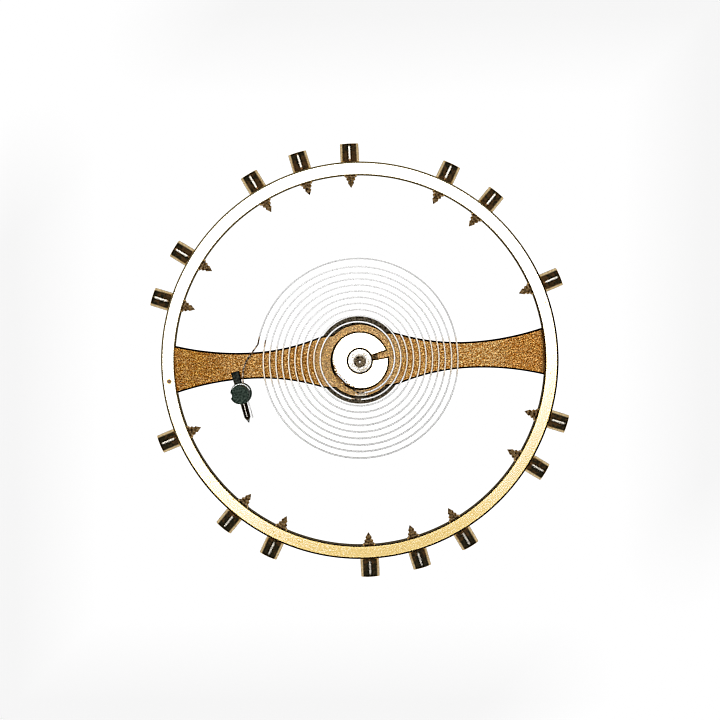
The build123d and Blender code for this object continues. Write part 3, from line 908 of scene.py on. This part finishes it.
coil_moves, longest_step, widest_step = len(moves), 0.09, 6
line, weights = [(strip_start, strip_heading)], [1.0]
spot, heading, turned = strip_start, strip_heading, 0.0
for number, (radius, amount) in enumerate(moves + tail_moves):
    length = amount if radius == 0 else radius * radians(abs(amount))
    pieces = max(1, ceil(length / longest_step), ceil(abs(amount) / widest_step) if radius else 1)
    for _ in range(pieces):
        spot, heading = follow(spot, heading, [(radius, amount / pieces)])
        turned += amount / pieces if first_coil_move <= number < coil_moves else 0
        line.append((spot, heading))
        weights.append(0.0 if number >= coil_moves else 1 - turned / sweep)
half_thick, half_high, lower_ease, upper_ease = strip_thickness / 2, strip_height / 2, 0.006, 0.002
section = eased([
    (half_thick, -half_high, lower_ease),
    (half_thick, half_high, upper_ease),
    (-half_thick, half_high, upper_ease),
    (-half_thick, -half_high, lower_ease),
], steps=2)
points, faces, count = [], [], len(section)
for spot, heading in line:
    for offset, height in section:
        place = spot - unit(heading + 90) * offset
        points.append((place.real, place.imag, strip_middle + height))
for row in range(len(line) - 1):
    low = row * count
    for s in range(count):
        n = (s + 1) % count
        faces.append((low + s, low + n, low + count + n, low + count + s))
faces.append(list(range(count)))
faces.append(list(range(len(points) - count, len(points)))[::-1])
spring = new_piece("spring", points, faces)
spring.data.flip_normals()
spring_looks = [spring_steel, spring_dark, spring_top]
dark_knee, dark_elbow, tail_clearance, dark_before_stud, dark_rise = 0.22, 0.2, 0.04, 0.1, 0.5


def spring_face(centre, normal):
    """Dark at the knee and from the elbow to the stud, where it turns away from the light"""
    spot = complex(centre.x, centre.y)
    knee = abs(spot - knee_spot) < dark_knee
    outer = abs(spot - coil_end) < dark_elbow or abs(spot) > abs(coil_end) + tail_clearance
    before_stud = part_of(spot, unit(stud_angle + 90)) < dark_before_stud
    if normal.z > dark_rise and (knee or outer and before_stud):
        return spring_looks.index(spring_dark)
    return spring_looks.index(spring_top if normal.z > least_rise else spring_steel)


hand_over(spring, None, ["hairspring"], spring_looks, spring_face)
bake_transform(spring)

# Stud and its pin
pin_length = stud_pin_back_length + stud_pin_front_length
pin_slope = (stud_pin_big_radius - stud_pin_small_radius) / pin_length
pin_foot_radius = stud_pin_big_radius - pin_slope * (stud_pin_back_length - stud_foot_radius)
stud_distance = tail_distance + strip_thickness / 2 + touch_gap + pin_foot_radius
stud_hole_place = stud_distance - stud_hole_shift
stud_hole_reach = stud_hole_place - tail_distance + strip_thickness / 2 + stud_hole_slack
stud_hole_radius = touch_gap + hypot(stud_hole_reach, strip_height / 2)
waist_radius = stud_foot_radius - stud_foot_taper
post = lathe("stud_post", eased([
    (0, stud_bottom, 0),
    (stud_foot_radius, stud_bottom, 0.016),
    (waist_radius, stud_foot_top, 0.01),
    (stud_post_radius, stud_foot_top, 0),
    (stud_post_radius, stud_top, 0.016),
    (0, stud_top, 0),
]), segments=96)
groove_place = unit(stud_groove_angle) * stud_groove_place
groove = rod(stud_groove_radius, stud_bottom - overrun, stud_top + overrun, segments=40)
moved(groove, Matrix.Translation((groove_place.real, groove_place.imag, 0)))
cut(post, groove)
stud_place = unit(stud_angle) * stud_distance
moved(post, Matrix.Translation((stud_place.real, stud_place.imag, 0)))
hole = rod(stud_hole_radius, -2 * stud_foot_radius, 2 * stud_foot_radius, segments=48)
cut(post, moved(hole, across(stud_angle, stud_hole_place, strip_middle)))
light_angle, lit_from = 105, 0.02


def stud_face(centre, normal):
    """The ledge above the foot shines on the side that turns to the light"""
    side = complex(centre.x, centre.y) - stud_place
    ledge = abs(centre.z - stud_foot_top) < same_place and normal.z > facing_up
    return int(ledge and part_of(side, unit(light_angle)) > lit_from)


hand_over(post, "stud", ["stud"], [stud_steel, stud_edge], stud_face)
peg = lathe("stud_peg", eased([
    (0, -stud_pin_back_length, 0),
    (stud_pin_big_radius, -stud_pin_back_length, 0.02),
    (stud_pin_big_radius - pin_slope * stud_pin_back_length, 0, 0),
    (stud_pin_small_radius, stud_pin_front_length, 0.02),
    (0, stud_pin_front_length + stud_pin_point_length, 0),
]), segments=56)
moved(peg, across(stud_angle, stud_distance, strip_middle))


def peg_face(centre, normal):
    """The front half is polished, with painted shade on its upper side and a painted highlight line
    on top
    """
    return int(part_of(complex(centre.x, centre.y), unit(stud_angle + 90)) > 0)


hand_over(peg, "stud", ["stud_pin"], [pin_steel, pin_bright_painted_sheen], peg_face)

# Directions in the photograph
photo_turn = 2.85
right, up = unit(-photo_turn), unit(90 - photo_turn)

# Floor: it glows an even white, a little less so from the picture's sides outwards
floor_half, floor_gap = 0.4, 0.02
floor_height = -(staff_end + floor_gap) * MM
corners = [(x * floor_half, y * floor_half) for x, y in ((-1, -1), (1, -1), (1, 1), (-1, 1))]
floor = new_piece("floor", [(x, y, floor_height) for x, y in corners], [(0, 1, 2, 3)])
floor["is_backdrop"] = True
floor.visible_glossy = False
material, tree = new_material("floor_white")


def distance_along(way):
    """The distance from the middle along a direction, either way, in millimetres"""
    return arithmetic(tree, "ABSOLUTE", along(tree, (way.real, way.imag, 0)))


floor_glow, floor_fall, floor_colour = 0.95, 0.13, (0.24, 0.24, 0.238, 1)
fall_reach, bright_corners, even_again = (5.4, 8.9), (8.6, 12.4), (11, 25)
outwards = arithmetic(tree, "MAXIMUM", distance_along(right), distance_along(up))
fall = product(
    tree,
    spread(tree, outwards, *fall_reach, 0, floor_fall),
    spread(tree, distance_along((right - up) / sqrt(2)), *bright_corners, 1, 0),
    spread(tree, outwards, *even_again, 1, 0),
)
strength = arithmetic(tree, "SUBTRACT", floor_glow, fall)
glow = node(tree, "ShaderNodeEmission", {"Color": white, "Strength": strength})
matte = node(tree, "ShaderNodeBsdfDiffuse", {"Color": floor_colour})
both = node(tree, "ShaderNodeAddShader", {0: glow.outputs[0], 1: matte.outputs[0]})
node(tree, "ShaderNodeOutputMaterial", {"Surface": both.outputs[0]})
floor.data.materials.append(material)


# Light: a soft round source close to the camera's axis in a dark sky, dim walls, a paler ground
def lamp_axis(tilt, towards):
    """A direction this far from upright, towards an angle in the photo"""
    flat = (right * cos(radians(towards)) + up * sin(radians(towards))) * sin(radians(tilt))
    return (flat.real, flat.imag, cos(radians(tilt)))


lamp_tilt, lamp_towards, lamp_strength = 4.1, 107.5, 3.5
lamp_core, lamp_edge = radians(6.9), radians(9.6)
wall_rise, wall_strength = (0.90, 0.965), 0.38
ground_rise, ground_strength = (-0.25, 0.1), 0.37
beneath_rise, least_strength = (-0.97, -0.88), 0.03
world = bpy.data.worlds.new("surroundings")
bpy.context.scene.world = world
world.use_nodes = True
tree = world.node_tree
tree.nodes.clear()
way = node(tree, "ShaderNodeTexCoord").outputs["Generated"]
way = vector(tree, "NORMALIZE", way)[0]
towards = vector(tree, "DOT_PRODUCT", way, lamp_axis(lamp_tilt, lamp_towards))["Value"]
off_lamp = arithmetic(tree, "ARCCOSINE", towards)
lamp = spread(tree, off_lamp, lamp_core, lamp_edge, lamp_strength, 0.0)
rise = node(tree, "ShaderNodeSeparateXYZ", {0: way}).outputs["Z"]
walls = spread(tree, rise, *wall_rise, wall_strength, 0.0)
ground = spread(tree, rise, *ground_rise, ground_strength, 0.0)
not_beneath = spread(tree, rise, *beneath_rise, 0.0, 1.0)
around = product(tree, total(tree, walls, ground), not_beneath)
strength = total(tree, lamp, around, least_strength)
lit = node(tree, "ShaderNodeBackground", {"Color": white, "Strength": strength})
pale = node(tree, "ShaderNodeBackground", {"Color": white, "Strength": 1.0})
seen = node(tree, "ShaderNodeLightPath").outputs["Is Camera Ray"]
shown = node(tree, "ShaderNodeMixShader", {0: seen, 1: lit.outputs[0], 2: pale.outputs[0]})
node(tree, "ShaderNodeOutputWorld", {"Surface": shown.outputs[0]})

# Tone: bright parts turn white, and edges are a little crisper, as in the photo
whitens_from, whitens_by = 0.66, 2.3
display_power, sharpening = 2.2, 0.07
scene = bpy.context.scene
scene.view_settings.view_transform = "Standard"
scene.view_settings.look = "None"
scene.use_nodes = True
tree = scene.node_tree
tree.nodes.clear()


def picture(operation, *values, **settings):
    """What one operation makes of these numbers or pictures"""
    inputs = dict(enumerate(values))
    return node(tree, "CompositorNodeMath", inputs, operation=operation, **settings).outputs[0]


def each(channels, *steps):
    """The same steps of arithmetic on each channel, and the channels put together"""
    for operation, amount in steps:
        channels = [picture(operation, channel, amount) for channel in channels]
    return node(tree, "CompositorNodeCombineColor", dict(enumerate(channels))).outputs[0]


layers = tree.nodes.new("CompositorNodeRLayers")
split = node(tree, "CompositorNodeSeparateColor", {0: layers.outputs["Image"]})
red, green, blue = split.outputs[:3]
whiter = picture("MULTIPLY", picture("SUBTRACT", green, whitens_from), whitens_by, use_clamp=True)
gains = [picture("MULTIPLY", picture("SUBTRACT", red, c), whiter) for c in (green, blue)]
whitened = [picture("ADD", c, gain) for c, gain in zip((green, blue), gains)]
held = ("MINIMUM", 1.0), ("MAXIMUM", 0.0)
flat = each([red, *whitened], *held, ("POWER", 1 / display_power))
crisp = node(tree, "CompositorNodeFilter", {0: sharpening, 1: flat}, filter_type="SHARPEN")
split = node(tree, "CompositorNodeSeparateColor", {0: crisp.outputs[0]})
node(tree, "CompositorNodeComposite", {0: each(split.outputs[:3], *held, ("POWER", display_power))})

# Camera
distance, tilt, aim_right, aim_up = 70.0, 1.5, 0.005, 0.009
camera = bpy.data.cameras.new("camera")
camera.lens, camera.sensor_width = 138.73, 36.0
camera.clip_start, camera.clip_end = 0.001, 2.0
camera = bpy.data.objects.new("camera", camera)
scene.collection.objects.link(camera)
scene.camera = camera
target = right * aim_right + up * aim_up
off_axis = target + up * distance * sin(radians(tilt))
camera_spot = Vector((off_axis.real, off_axis.imag, distance * cos(radians(tilt))))
back = (camera_spot - Vector((target.real, target.imag, 0))).normalized()
sideways = Vector((right.real, right.imag, 0))
placed = Matrix((sideways, back.cross(sideways), back)).transposed().to_4x4()
placed.translation = camera_spot * MM
camera.matrix_world = placed

low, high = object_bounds()
